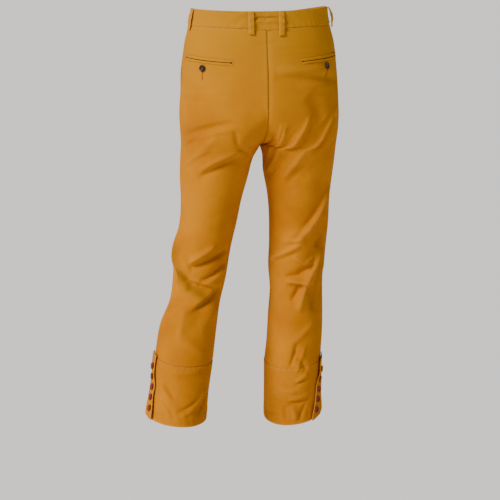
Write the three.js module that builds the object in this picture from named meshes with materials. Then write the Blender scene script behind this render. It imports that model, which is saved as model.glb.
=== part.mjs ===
// Riding trousers of mustard cotton twill, worn and mid-stride: two fronts, two backs, a waistband
// with belt loops, two jetted back pockets, and a deep cuff on each leg with a buttoned side vent.
// Millimetres. +X is the wearer's right, +Y the way the wearer faces, +Z up.
// The origin is the middle of the waist opening, halfway up the waistband.
import * as THREE from "three";

// Driving dimensions
const BAND_HEIGHT = 36;
const FRONT_DROP = 12; // of the waist at the front, and its rise at the sides, from the level of
const SIDE_RISE = 4.5; // the tilted sections
const CROTCH_TOP = -184; // where the crotch curve starts to turn under
const FORK = -276; // lowest point of the crotch curve
const CUFF_TOP = { left: -758, right: -802 }; // seam between leg and cuff
const HEM = { left: -882, right: -935 };
const TWILL = 1.5; // wall of one layer
const BAND_WALL = 2.2; // the waistband is faced, so it is thicker
const SEAM_GAP = 0.3;
const SEWN_ON = 0.4; // height of a flat piece over what it is sewn on
const SEWN_ON_CURVE = 0.6; // and of a loop or placket, whose facets bow more
// Back pockets: from and to are places round the leg, and the mouth slopes down to the seat seam.
const POCKET_MOUTH = { from: 0.57, to: 0.874, outer: -83, inner: -90.5, jet: 6 };
const JET_THICKNESS = 1.2;
const SLANT = { top: 42, bottom: -155 }; // front pockets: from here in front of the side seam down to it
const MOUTH_STEP = 0.9; // from a front's edge down to the side piece under it
const SIDE_PIECE_END = 8; // short of the slant's lower end
const FLY = { width: 38, bottom: -176, curveFrom: 0.72, curveTo: 1.02 }; // shares of its length
const TAB_LENGTH = 45;
const LOOP_WIDTH = 13;
const LOOP_THICKNESS = 1.6;
const LOOP_BOW_POWER = 0.8; // under 1, a loop rises steeply from its ends
const CUFF_PROUD = 0.6; // of the leg above
const BAND_PROUD = 0.8;
const PLACKET = { above: 8, front: 8, width: 32 }; // over the side seam, from above the cuff to the hem
const FLARE = { left: 6.5, right: 5 }; // how far a placket's free edge stands off
const FLARE_FROM = 0.25; // share of a placket's width that lies flat
const FLARE_POWER = 1.4; // how sharply the rest turns out
const FLARE_WAVE = { swing: 0.25, waves: 1.25, phase: 0.6 }; // share of the flare, down its length
const BUTTON_RADIUS = 7.5;
const BUTTON_THICKNESS = 2.6;
const SHANK = 0.8; // of thread, under a button
const CUFF_BUTTONS = 5;
const CUFF_BUTTON_COLUMN = 0.72; // share of a placket's width
const CUFF_BUTTON_ROWS = { first: 0.22, last: 0.86 }; // shares of its length
const POCKET_BUTTON_DROP = 17; // below the pocket's mouth
const WAIST_BUTTON_SHARE = 0.68; // of the tab's length
const BUTTON_SIDES = 12;
const SEAT_SQUARENESS = 2.3; // exponent of the body's oval; 2 is an ellipse
const LEG_SQUARENESS = 2.05;
const TWILL_GRID = { front: [46, 10], back: [46, 16], side: [8, 3] }; // rows and columns of facets
const TRIM_GRID = { loop: [8, 2], jet: [1, 18], fly: [12, 4], tab: [3, 6], placket: [12, 5] };
const BAND_GRID = { waist: [3, 24], cuffFront: [7, 10], cuffBack: [7, 12] };
const CLOSER_ROWS = [
  { middle: -290, reach: 110, gain: 1.1 }, // folds under the seat
  { middle: -570, reach: 120, gain: 1.1 }, // and behind the knees
];

const MUSTARD = new THREE.MeshStandardMaterial({ color: 0xc07d12, roughness: 0.85, metalness: 0 });
const HORN = new THREE.MeshStandardMaterial({ color: 0x3a1a10, roughness: 0.35, metalness: 0 });
const LEATHER = new THREE.MeshStandardMaterial({ color: 0x6e2c10, roughness: 0.6, metalness: 0 });

// The body's sections. half: from the midline to the outer side; gap: from the midline to the
// inner side; y: middle of the section; front and back: from there; tilt raises the front and
// roll the outer side, and twist turns the seams towards the back, in degrees.
const COLUMNS = ["level", "half", "gap", "y", "front", "back", "tilt", "roll", "twist"];
const BODY_ROWS = [
  [24, 149, 0, 0, 98, 99, -3, 0, 0],
  [0, 151, 0, 0, 99, 101, -3, 0, 0],
  [-24, 156, 0, 0, 101, 105, -3, 0, 0],
  [-55, 164, 0, 0, 104, 112, -3, 0, 0],
  [-90, 169, 0, 0, 106, 119, -3, 0, 0],
  [-130, 173, 0, 0, 107, 126, -2.5, 0, 0],
  [-170, 175, 0, 0, 106, 130, -1.5, 0, 0],
  [-210, 177, 0, 0, 103, 129, -0.4, 0, 0],
  [-245, 176, 0, 0, 98, 119, 0, 0, 0],
];
const LEG_ROWS = {
  left: [
    [-276, 175, 0, -2, 94, 105, 0, 0, 0],
    [-305, 177, 15, -2, 89, 97, 0, 0, 0],
    [-348, 178, 26, 0, 83, 87, 0, 0, 0],
    [-405, 176, 41, 5, 76, 78, 0, 0, 0],
    [-463, 180, 52, 12, 70, 72, 0, 0, 0],
    [-522, 197, 64, 18, 67, 68, 0, 0, 0],
    [-580, 197, 74, 17, 64, 64, 0, 0, 0],
    [-635, 204, 89, 6, 62, 64, 0, 0, 0],
    [-690, 228, 100, -12, 64, 66, 0, 2, 0],
    [-755, 242, 112, -32, 65, 68, 3, 5, -6],
    [-820, 253, 124, -50, 67, 70, 5, 7, 2],
    [-890, 270, 132, -64, 70, 73, 6, 5.5, 14],
  ],
  right: [
    [-276, 173, 0, 0, 94, 107, 0, 0, 0],
    [-305, 171, 9, 4, 89, 99, 0, 0, 0],
    [-345, 168, 12, 10, 83, 89, 0, 0, 0],
    [-401, 164, 23, 20, 76, 79, 0, 0, 0],
    [-459, 165, 29, 32, 71, 73, 0, 0, 0],
    [-517, 162, 31, 43, 68, 69, 0, 0, 0],
    [-575, 159, 30, 51, 65, 65, 0, 0, 0],
    [-634, 157, 35, 56, 63, 63, 0, 0, 0],
    [-694, 158, 31, 59, 64, 65, 0, 0, 0],
    [-754, 157, 28, 61, 65, 68, 2, 2, 4],
    [-810, 155, 23, 63, 66, 70, 5, 4, 12],
    [-877, 156, 23, 65, 68, 72, 6, 6, 28],
    [-945, 161, 24, 69, 71, 74, 8, 9, 43],
  ],
};

// Folds in the cloth: a soft ridge, or a trough where height is negative, from (u0, level0) to
// (u1, level1). u runs round a leg from the inseam over the front (0) to the side seam (0.5)
// and round the back to the inseam (1). bow lifts the middle of the line sideways.
const FOLD_COLUMNS = ["u0", "level0", "u1", "level1", "bow", "width", "height"];
const FOLD_ROWS = {
  left: [
    [0.55, -268, 0.87, -216, -6, 14, -3],
    [0.65, -342, 0.88, -288, -8, 13, -4.5],
    [0.68, -318, 0.88, -266, -8, 13, 2.5],
    [0.825, -232, 0.84, -282, 0, 10, -2.5],
    [0.53, -500, 0.64, -580, 4, 11, 4],
    [0.5, -505, 0.54, -600, 0, 14, -4],
    [0.6, -562, 0.87, -606, 6, 11, -4.5],
    [0.65, -545, 0.79, -498, 0, 10, 3.5],
    [0.67, -548, 0.9, -508, 4, 10, -5],
    [0.73, -592, 0.92, -538, 2, 10, -4],
    [0.7, -660, 0.9, -596, 4, 14, -5],
    [0.78, -680, 0.92, -640, 0, 14, 3],
    [0.6, -815, 0.74, -858, 0, 12, 2.5],
    [0.04, -300, 0.3, -246, 8, 13, 4],
    [0.05, -330, 0.36, -290, 8, 14, -4],
    [0.08, -368, 0.34, -330, 6, 14, 3.5],
    [0.12, -525, 0.38, -560, 6, 14, 5],
    [0.14, -572, 0.42, -590, 4, 12, -5],
    [0.1, -610, 0.36, -634, 4, 13, 4],
    [0.05, -560, 0.2, -655, 6, 14, -3.5],
    [0.2, -790, 0.42, -828, 0, 14, 2.5],
  ],
  right: [
    [0.98, -296, 0.94, -236, 0, 10, -3.5],
    [0.985, -342, 0.81, -215, 22, 11, 4],
    [0.91, -312, 0.9, -215, 0, 10, 2],
    [0.87, -348, 0.67, -210, 8, 12, 4],
    [0.78, -352, 0.6, -258, 8, 14, -3],
    [0.6, -372, 0.76, -498, 4, 11, 5],
    [0.71, -466, 0.88, -510, -4, 10, 4],
    [0.6, -450, 0.71, -552, 0, 15, -5.5],
    [0.74, -500, 0.97, -556, 8, 11, 4.5],
    [0.8, -537, 0.69, -561, 0, 10, 3],
    [0.84, -588, 0.68, -570, 0, 10, -4],
    [0.85, -600, 0.67, -606, -4, 10, 4.5],
    [0.83, -606, 0.69, -622, 0, 10, -3.5],
    [0.6, -530, 0.75, -674, -10, 12, 5.5],
    [0.54, -580, 0.63, -680, 0, 14, -4],
    [0.74, -606, 0.81, -650, 0, 10, -3],
    [0.62, -860, 0.84, -852, 0, 12, 2.5],
    [0.64, -884, 0.86, -878, 4, 11, -2.5],
    [0.04, -304, 0.32, -240, 8, 13, 4],
    [0.05, -335, 0.38, -285, 8, 14, -4],
    [0.08, -372, 0.3, -338, 6, 14, 3],
    [0.1, -520, 0.36, -548, 6, 14, 4.5],
    [0.12, -566, 0.44, -580, 4, 12, -5],
    [0.08, -604, 0.34, -622, 4, 13, 4.5],
    [0.3, -610, 0.44, -660, 4, 14, -3.5],
    [0.16, -856, 0.4, -880, 0, 14, 2.5],
  ],
};

// Belt loops. behind is measured round the band from the seam at u, stand is how far the middle of
// the loop bows away from the band, and below how far its end is under the band.
const LOOP_COLUMNS = ["place", "side", "u", "behind", "stand", "below"];
const LOOP_ROWS = [
  ["back", "left", 1, -29, 3, 16],
  ["back", "right", 1, -29, 3, 16],
  ["side", "left", 0.5, 23, 4, 9],
  ["side", "right", 0.5, 23, 7, 9],
  ["front", "left", 0, 96, 3, 12],
  ["front", "right", 0, 96, 3, 12],
];

const named = (columns, rows) =>
  rows.map((row) => Object.fromEntries(columns.map((column, i) => [column, row[i]])));
const STATIONS = {
  left: named(COLUMNS, [...BODY_ROWS, ...LEG_ROWS.left]),
  right: named(COLUMNS, [...BODY_ROWS, ...LEG_ROWS.right]),
};
const FOLDS = {
  left: named(FOLD_COLUMNS, FOLD_ROWS.left),
  right: named(FOLD_COLUMNS, FOLD_ROWS.right),
};

// A smooth curve through the rows of a table, read at one level.
function section(side, level) {
  const rows = STATIONS[side];
  let i = 0;
  while (i < rows.length - 2 && level < rows[i + 1].level) i++;
  const [a, b] = [rows[i], rows[i + 1]];
  const [before, after] = [rows[Math.max(i - 1, 0)], rows[Math.min(i + 2, rows.length - 1)]];
  const span = b.level - a.level;
  const t = (level - a.level) / span;
  const read = {};
  for (const column of COLUMNS) {
    const slopeA = ((b[column] - before[column]) / (b.level - before.level)) * span;
    const slopeB = ((after[column] - a[column]) / (after.level - a.level)) * span;
    read[column] =
      (2 * t ** 3 - 3 * t ** 2 + 1) * a[column] +
      (t ** 3 - 2 * t ** 2 + t) * slopeA +
      (3 * t ** 2 - 2 * t ** 3) * b[column] +
      (t ** 3 - t ** 2) * slopeB;
  }
  return read;
}

// How far a fold moves the cloth out at one point.
function foldHeight(fold, u, level, girth) {
  const along = new THREE.Vector2((fold.u1 - fold.u0) * girth, fold.level1 - fold.level0);
  const length = along.length();
  along.divideScalar(length);
  const point = new THREE.Vector2((u - fold.u0) * girth, level - fold.level0);
  const t = point.dot(along) / length;
  if (t <= 0 || t >= 1) return 0;
  const arch = 4 * t * (1 - t);
  const across = point.cross(along) - fold.bow * arch;
  return fold.height * arch ** 0.6 * Math.exp(-((across / fold.width) ** 2));
}

const power = (value, squareness) => Math.sign(value) * Math.abs(value) ** (2 / squareness);

// The outer face of the cloth: u goes round one leg or half the body, level down it.
function cloth(side, u, level) {
  const s = section(side, level);
  const turned = THREE.MathUtils.clamp((CROTCH_TOP - level) / (CROTCH_TOP - FORK), 0, 1);
  const start = Math.acos(turned);
  const squareness = THREE.MathUtils.lerp(SEAT_SQUARENESS, LEG_SQUARENESS, turned);
  const twist = THREE.MathUtils.degToRad(s.twist);
  const angle = start + u * 2 * (Math.PI - start) + twist;
  const isLeg = level < FORK;
  const middle = isLeg ? (s.half + s.gap) / 2 : (s.half / 2) * power(turned, squareness);
  const inner = isLeg ? (s.half - s.gap) / 2 : s.half / 2;
  const outer = s.half - middle;
  const [c, n] = [power(Math.cos(angle), squareness), power(Math.sin(angle), squareness)];
  const out = new THREE.Vector2(-c * (c > 0 ? inner : outer), n * (n > 0 ? s.front : s.back));
  const girth = 2 * (Math.PI - start) * Math.hypot(outer, s.back) * Math.SQRT1_2;
  const fold = FOLDS[side].reduce((sum, f) => sum + foldHeight(f, u, level, girth), 0);
  out.setLength(out.length() + fold);
  const atWaist = THREE.MathUtils.clamp(1 - level / CROTCH_TOP, 0, 1);
  const z =
    level +
    atWaist * (SIDE_RISE * c ** 2 - FRONT_DROP * Math.max(n, 0) ** 2) +
    out.y * Math.tan(THREE.MathUtils.degToRad(s.tilt)) +
    out.x * Math.tan(THREE.MathUtils.degToRad(s.roll));
  const x = middle + out.x + SEAM_GAP / 2;
  return ownSide(side, new THREE.Vector3(side === "left" ? -x : x, s.y + out.y, z));
}

// Keeps a point on its own side of the midline, half a seam gap away from it.
function ownSide(side, point) {
  point.x = side === "left" ? Math.min(point.x, -SEAM_GAP / 2) : Math.max(point.x, SEAM_GAP / 2);
  return point;
}

const U_STEP = 0.004;
const LEVEL_STEP = 1.5;

// The cloth's outward normal at a point.
function outward(side, u, level) {
  const alongU = cloth(side, u + U_STEP, level).sub(cloth(side, u - U_STEP, level));
  const alongLevel = cloth(side, u, level + LEVEL_STEP).sub(cloth(side, u, level - LEVEL_STEP));
  const normal = alongU.cross(alongLevel).normalize();
  return side === "left" ? normal : normal.negate();
}

// A point held off the cloth by a height.
const lifted = (side, u, level, height) =>
  ownSide(side, cloth(side, u, level).addScaledVector(outward(side, u, level), height));

// Millimetres round the cloth for one unit of u.
const reach = (side, u, level) =>
  cloth(side, u + U_STEP, level).distanceTo(cloth(side, u - U_STEP, level)) / (2 * U_STEP);

// The u that lies a distance behind the point u, measured round the cloth.
const behind = (side, u, level, distance) => u + distance / reach(side, u, level);

// A closed wall between an outer and an inner grid of points, rows by columns.
function wall(rows, columns, outerPoint, innerPoint, flip) {
  const points = [];
  const index = (layer, i, j) => (layer * (rows + 1) + i) * (columns + 1) + j;
  for (const pointAt of [outerPoint, innerPoint])
    for (let i = 0; i <= rows; i++)
      for (let j = 0; j <= columns; j++) points.push(...pointAt(i / rows, j / columns));
  const faces = [];
  const quad = (a, b, c, d) => faces.push(...(flip ? [a, c, b, a, d, c] : [a, b, c, a, c, d]));
  for (let i = 0; i < rows; i++)
    for (let j = 0; j < columns; j++) {
      quad(index(0, i, j), index(0, i + 1, j), index(0, i + 1, j + 1), index(0, i, j + 1));
      quad(index(1, i, j), index(1, i, j + 1), index(1, i + 1, j + 1), index(1, i + 1, j));
    }
  for (let i = 0; i < rows; i++) {
    quad(index(0, i, 0), index(1, i, 0), index(1, i + 1, 0), index(0, i + 1, 0));
    const j = columns;
    quad(index(0, i, j), index(0, i + 1, j), index(1, i + 1, j), index(1, i, j));
  }
  for (let j = 0; j < columns; j++) {
    quad(index(0, 0, j), index(0, 0, j + 1), index(1, 0, j + 1), index(1, 0, j));
    const i = rows;
    quad(index(0, i, j), index(1, i, j), index(1, i, j + 1), index(0, i, j + 1));
  }
  const geometry = new THREE.BufferGeometry();
  geometry.setAttribute("position", new THREE.Float32BufferAttribute(points, 3));
  geometry.setIndex(faces);
  return geometry;
}

const garment = new THREE.Group();

function add(name, geometry, material) {
  const mesh = new THREE.Mesh(geometry, material);
  mesh.name = name;
  garment.add(mesh);
  return mesh;
}

// A piece cut from the cloth's own surface. route gives [u, level] from row and column shares,
// and height how far the piece's inner face stands off the cloth there.
function piece(name, side, [rows, columns], route, height, thickness) {
  const at = (extra) => (row, column) => {
    const [u, level] = route(row, column);
    return lifted(side, u, level, height(row, column) + extra);
  };
  add(name, wall(rows, columns, at(thickness), at(0), side === "right"), MUSTARD);
}

// Levels from top to bottom, closer together where the folds are.
function levels(top, bottom) {
  const gain = (band, level) => band.gain * Math.exp(-(((level - band.middle) / band.reach) ** 2));
  const density = (level) => CLOSER_ROWS.reduce((sum, band) => sum + gain(band, level), 1);
  const steps = 400;
  const total = [0];
  for (let i = 0; i < steps; i++)
    total.push(total[i] + density(top + ((bottom - top) * (i + 0.5)) / steps));
  return (share) => {
    const target = share * total[steps];
    const i = Math.min(Math.max(total.findIndex((value) => value >= target), 1), steps);
    const part = (target - total[i - 1]) / (total[i] - total[i - 1]);
    return top + ((bottom - top) * (i - 1 + part)) / steps;
  };
}

const evenly = (top, bottom) => (share) => THREE.MathUtils.lerp(top, bottom, share);
const along = (u) => () => u;

// A panel between two seams of the pattern, drawn back from them by half the seam gap. The seams
// are functions of the level, and depth is how far the outer face lies under the cloth's own.
function panel(name, side, grid, seams, levelAt, depth, thickness) {
  const route = (row, column) => {
    const level = levelAt(row);
    const from = behind(side, seams[0](level), level, SEAM_GAP / 2);
    const to = behind(side, seams[1](level), level, -SEAM_GAP / 2);
    return [THREE.MathUtils.lerp(from, to, column), level];
  };
  piece(name, side, grid, route, (row, column) => -depth(column) - thickness, thickness);
}

const SIDES = ["left", "right"];
const SEAM_LEVEL = -BAND_HEIGHT / 2;
const flush = () => 0;

// Fronts and backs. A front ends at its slanted pocket's mouth, and at the side seam below that.
const mouth = (side) => (level) => {
  const share = Math.max((level - SLANT.bottom) / (SEAM_LEVEL - SLANT.bottom), 0);
  return behind(side, 0.5, level, -SLANT.top * share);
};
for (const side of SIDES) {
  const levelAt = levels(SEAM_LEVEL - SEAM_GAP / 2, CUFF_TOP[side] + SEAM_GAP / 2);
  const [fronts, backs] = [TWILL_GRID.front, TWILL_GRID.back];
  panel(`front_${side}`, side, fronts, [along(0), mouth(side)], levelAt, flush, TWILL);
  panel(`back_${side}`, side, backs, [along(0.5), along(1)], levelAt, flush, TWILL);
}

// The side piece under each slanted pocket: a little lower at the mouth, flush at the side seam.
for (const side of SIDES) {
  const levelAt = evenly(SEAM_LEVEL - SEAM_GAP / 2, SLANT.bottom + SIDE_PIECE_END);
  const step = (column) => MOUTH_STEP * (1 - column);
  const seams = [mouth(side), along(0.5)];
  panel(`pocket_side_${side}`, side, TWILL_GRID.side, seams, levelAt, step, TWILL);
}

// Cuffs, a little proud of the legs they are sewn to
for (const side of SIDES) {
  const levelAt = evenly(CUFF_TOP[side] - SEAM_GAP / 2, HEM[side]);
  const proud = () => -CUFF_PROUD;
  const [fronts, backs] = [BAND_GRID.cuffFront, BAND_GRID.cuffBack];
  panel(`cuff_front_${side}`, side, fronts, [along(0), along(0.5)], levelAt, proud, TWILL);
  panel(`cuff_back_${side}`, side, backs, [along(0.5), along(1)], levelAt, proud, TWILL);
}

// Waistband, in two halves
for (const side of SIDES) {
  const levelAt = evenly(-SEAM_LEVEL, SEAM_LEVEL + SEAM_GAP / 2);
  const proud = () => -BAND_PROUD;
  const seams = [along(0), along(1)];
  panel(`waistband_${side}`, side, BAND_GRID.waist, seams, levelAt, proud, BAND_WALL);
}

// Belt loops: strips sewn down at the band's top edge and below the band, bowed out between
for (const row of named(LOOP_COLUMNS, LOOP_ROWS)) {
  const levelAt = evenly(-SEAM_LEVEL - 1, SEAM_LEVEL - row.below);
  const route = (down, across) => {
    const level = levelAt(down);
    const distance = row.behind + LOOP_WIDTH * (across - 0.5);
    return [behind(row.side, row.u, level, distance), level];
  };
  const seat = (down) => THREE.MathUtils.lerp(BAND_PROUD, 0, down) + SEWN_ON_CURVE;
  const height = (down) => seat(down) + row.stand * Math.sin(Math.PI * down) ** LOOP_BOW_POWER;
  piece(`loop_${row.place}_${row.side}`, row.side, TRIM_GRID.loop, route, height, LOOP_THICKNESS);
}

// Back pockets: two narrow jets, edge to edge at the mouth, with a button below their middle
const mouthLevel = (share) => THREE.MathUtils.lerp(POCKET_MOUTH.outer, POCKET_MOUTH.inner, share);
for (const side of SIDES)
  for (const [place, above] of [
    ["upper", POCKET_MOUTH.jet],
    ["lower", -SEAM_GAP / 2],
  ]) {
    const route = (row, column) => [
      THREE.MathUtils.lerp(POCKET_MOUTH.from, POCKET_MOUTH.to, column),
      mouthLevel(column) + above - row * (POCKET_MOUTH.jet - SEAM_GAP / 2),
    ];
    piece(`pocket_jet_${place}_${side}`, side, TRIM_GRID.jet, route, () => SEWN_ON, JET_THICKNESS);
  }

// Front closing: a fly flap on the left front, and the band's end lapped over the right half
piece(
  "fly_flap",
  "left",
  TRIM_GRID.fly,
  (row, column) => {
    const level = THREE.MathUtils.lerp(SEAM_LEVEL - 2 * SEAM_GAP, FLY.bottom, row);
    const turn = (row - FLY.curveFrom) / (FLY.curveTo - FLY.curveFrom);
    const curve = Math.sqrt(1 - Math.max(turn, 0) ** 2);
    return [behind("left", 0, level, SEAM_GAP + FLY.width * curve * column), level];
  },
  () => SEWN_ON,
  TWILL,
);
const tabHeight = BAND_PROUD + SEWN_ON;
piece(
  "waist_tab",
  "right",
  TRIM_GRID.tab,
  (row, column) => {
    const level = THREE.MathUtils.lerp(-SEAM_LEVEL, SEAM_LEVEL + SEAM_GAP, row);
    return [behind("right", 0, level, SEAM_GAP + TAB_LENGTH * column), level];
  },
  () => tabHeight,
  BAND_WALL,
);

// Vent plackets over the side seam of each cuff. The free edge behind stands off in a soft wave.
function placketRoute(side) {
  const levelAt = evenly(CUFF_TOP[side] + PLACKET.above, HEM[side]);
  return (row, column) => {
    const level = levelAt(row);
    return [behind(side, 0.5, level, PLACKET.width * column - PLACKET.front), level];
  };
}
const placketHeight = (side) => (row, column) => {
  const free = Math.max((column - FLARE_FROM) / (1 - FLARE_FROM), 0);
  const wave = Math.sin(2 * Math.PI * FLARE_WAVE.waves * row + FLARE_WAVE.phase) - 1;
  const flare = FLARE[side] * (1 + FLARE_WAVE.swing * wave);
  return CUFF_PROUD + SEWN_ON_CURVE + flare * free ** FLARE_POWER;
};
for (const side of SIDES)
  piece(`placket_${side}`, side, TRIM_GRID.placket, placketRoute(side), placketHeight(side), TWILL);

// Buttons: dished discs, turned to face along the normal of what they are sewn on
function button(name, place, normal, material) {
  const [r, t] = [BUTTON_RADIUS, BUTTON_THICKNESS];
  const profile = [
    [0, 0],
    [0.93 * r, 0],
    [r, 0.4 * t],
    [0.9 * r, t],
    [0.66 * r, 0.75 * t],
    [0, 0.68 * t],
  ].map(([x, y]) => new THREE.Vector2(x, y));
  const mesh = add(name, new THREE.LatheGeometry(profile, BUTTON_SIDES), material);
  mesh.position.copy(place).addScaledVector(normal, SHANK);
  mesh.quaternion.setFromUnitVectors(new THREE.Vector3(0, 1, 0), normal);
}
for (const side of SIDES) {
  const u = (POCKET_MOUTH.from + POCKET_MOUTH.to) / 2;
  const level = mouthLevel(0.5) - POCKET_BUTTON_DROP;
  button(`pocket_button_${side}`, cloth(side, u, level), outward(side, u, level), HORN);
}
{
  const u = behind("right", 0, 0, WAIST_BUTTON_SHARE * TAB_LENGTH);
  const place = lifted("right", u, 0, tabHeight + BAND_WALL);
  button("waist_button", place, outward("right", u, 0), HORN);
}
for (const side of SIDES)
  for (let i = 1; i <= CUFF_BUTTONS; i++) {
    const share = (i - 1) / (CUFF_BUTTONS - 1);
    const row = THREE.MathUtils.lerp(CUFF_BUTTON_ROWS.first, CUFF_BUTTON_ROWS.last, share);
    const at = (r, c) => {
      const [u, level] = placketRoute(side)(r, c);
      return lifted(side, u, level, placketHeight(side)(r, c) + TWILL);
    };
    const step = 0.02;
    const across = at(row, CUFF_BUTTON_COLUMN + step).sub(at(row, CUFF_BUTTON_COLUMN - step));
    const up = at(row - step, CUFF_BUTTON_COLUMN).sub(at(row + step, CUFF_BUTTON_COLUMN));
    const normal = across.cross(up).normalize();
    if (side === "right") normal.negate();
    button(`cuff_button_${side}_${i}`, at(row, CUFF_BUTTON_COLUMN), normal, LEATHER);
  }

export default garment;
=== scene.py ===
# Riding trousers of mustard cotton twill, worn and mid-stride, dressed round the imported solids.
# Blender works in metres; the cutting chart and the folds below are in millimetres.
# +X is the wearer's right, +Y the way the wearer faces, +Z up, from the middle of the waist.
import math

import bpy
import numpy as np
from mathutils import Matrix, Vector


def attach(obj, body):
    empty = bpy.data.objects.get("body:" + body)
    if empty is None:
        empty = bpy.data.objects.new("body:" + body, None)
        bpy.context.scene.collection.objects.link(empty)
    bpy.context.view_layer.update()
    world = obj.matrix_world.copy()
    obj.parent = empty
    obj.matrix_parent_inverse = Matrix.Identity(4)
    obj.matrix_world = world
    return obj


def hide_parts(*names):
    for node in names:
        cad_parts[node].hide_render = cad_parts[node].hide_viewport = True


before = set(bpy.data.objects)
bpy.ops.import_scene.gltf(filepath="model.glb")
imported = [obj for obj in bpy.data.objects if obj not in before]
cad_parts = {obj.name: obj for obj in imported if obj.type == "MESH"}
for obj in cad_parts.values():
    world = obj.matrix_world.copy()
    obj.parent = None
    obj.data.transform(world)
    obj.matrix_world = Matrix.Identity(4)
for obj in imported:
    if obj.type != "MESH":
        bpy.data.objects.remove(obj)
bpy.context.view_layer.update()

# Fronts and backs
# Two fronts and two backs of 300 g cotton twill, cut in one from waist to cuff and sewn at the
# side seams, the inseams, the fly and the seat. Worn in, they hang in soft folds that gather
# under the seat and behind the knees.
MM = 0.001
BAND_HEIGHT = 36
FRONT_DROP, SIDE_RISE = 12, 4.5
SEAM_LEVEL = -BAND_HEIGHT / 2
CROTCH_TOP, FORK = -184, -276
CUFF_TOP = {"left": -758, "right": -802}
HEM = {"left": -882, "right": -935}
TWILL = 1.3
SEAT_SQUARENESS, LEG_SQUARENESS = 2.3, 2.05
SIDES = ("left", "right")

# level, half, gap, y, front, back, tilt, roll, twist: a section's level, how far its outer and
# inner sides are from the midline, its middle and its depths, its shears and its turn
BODY_ROWS = [
    [24, 149, 0, 0, 98, 99, -3, 0, 0],
    [0, 151, 0, 0, 99, 101, -3, 0, 0],
    [-24, 156, 0, 0, 101, 105, -3, 0, 0],
    [-55, 164, 0, 0, 104, 112, -3, 0, 0],
    [-90, 169, 0, 0, 106, 119, -3, 0, 0],
    [-130, 173, 0, 0, 107, 126, -2.5, 0, 0],
    [-170, 175, 0, 0, 106, 130, -1.5, 0, 0],
    [-210, 177, 0, 0, 103, 129, -0.4, 0, 0],
    [-245, 176, 0, 0, 98, 119, 0, 0, 0],
]
LEG_ROWS = {
    "left": [
        [-276, 175, 0, -2, 94, 105, 0, 0, 0],
        [-305, 177, 15, -2, 89, 97, 0, 0, 0],
        [-348, 178, 26, 0, 83, 87, 0, 0, 0],
        [-405, 176, 41, 5, 76, 78, 0, 0, 0],
        [-463, 180, 52, 12, 70, 72, 0, 0, 0],
        [-522, 197, 64, 18, 67, 68, 0, 0, 0],
        [-580, 197, 74, 17, 64, 64, 0, 0, 0],
        [-635, 204, 89, 6, 62, 64, 0, 0, 0],
        [-690, 228, 100, -12, 64, 66, 0, 2, 0],
        [-755, 242, 112, -32, 65, 68, 3, 5, -6],
        [-820, 253, 124, -50, 67, 70, 5, 7, 2],
        [-890, 270, 132, -64, 70, 73, 6, 5.5, 14],
    ],
    "right": [
        [-276, 173, 0, 0, 94, 107, 0, 0, 0],
        [-305, 171, 9, 4, 89, 99, 0, 0, 0],
        [-345, 168, 12, 10, 83, 89, 0, 0, 0],
        [-401, 164, 23, 20, 76, 79, 0, 0, 0],
        [-459, 165, 29, 32, 71, 73, 0, 0, 0],
        [-517, 162, 31, 43, 68, 69, 0, 0, 0],
        [-575, 159, 30, 51, 65, 65, 0, 0, 0],
        [-634, 157, 35, 56, 63, 63, 0, 0, 0],
        [-694, 158, 31, 59, 64, 65, 0, 0, 0],
        [-754, 157, 28, 61, 65, 68, 2, 2, 4],
        [-810, 155, 23, 63, 66, 70, 5, 4, 12],
        [-877, 156, 23, 65, 68, 72, 6, 6, 28],
        [-945, 161, 24, 69, 71, 74, 8, 9, 43],
    ],
}
STATIONS = {side: np.array(BODY_ROWS + LEG_ROWS[side], float) for side in SIDES}

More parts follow.
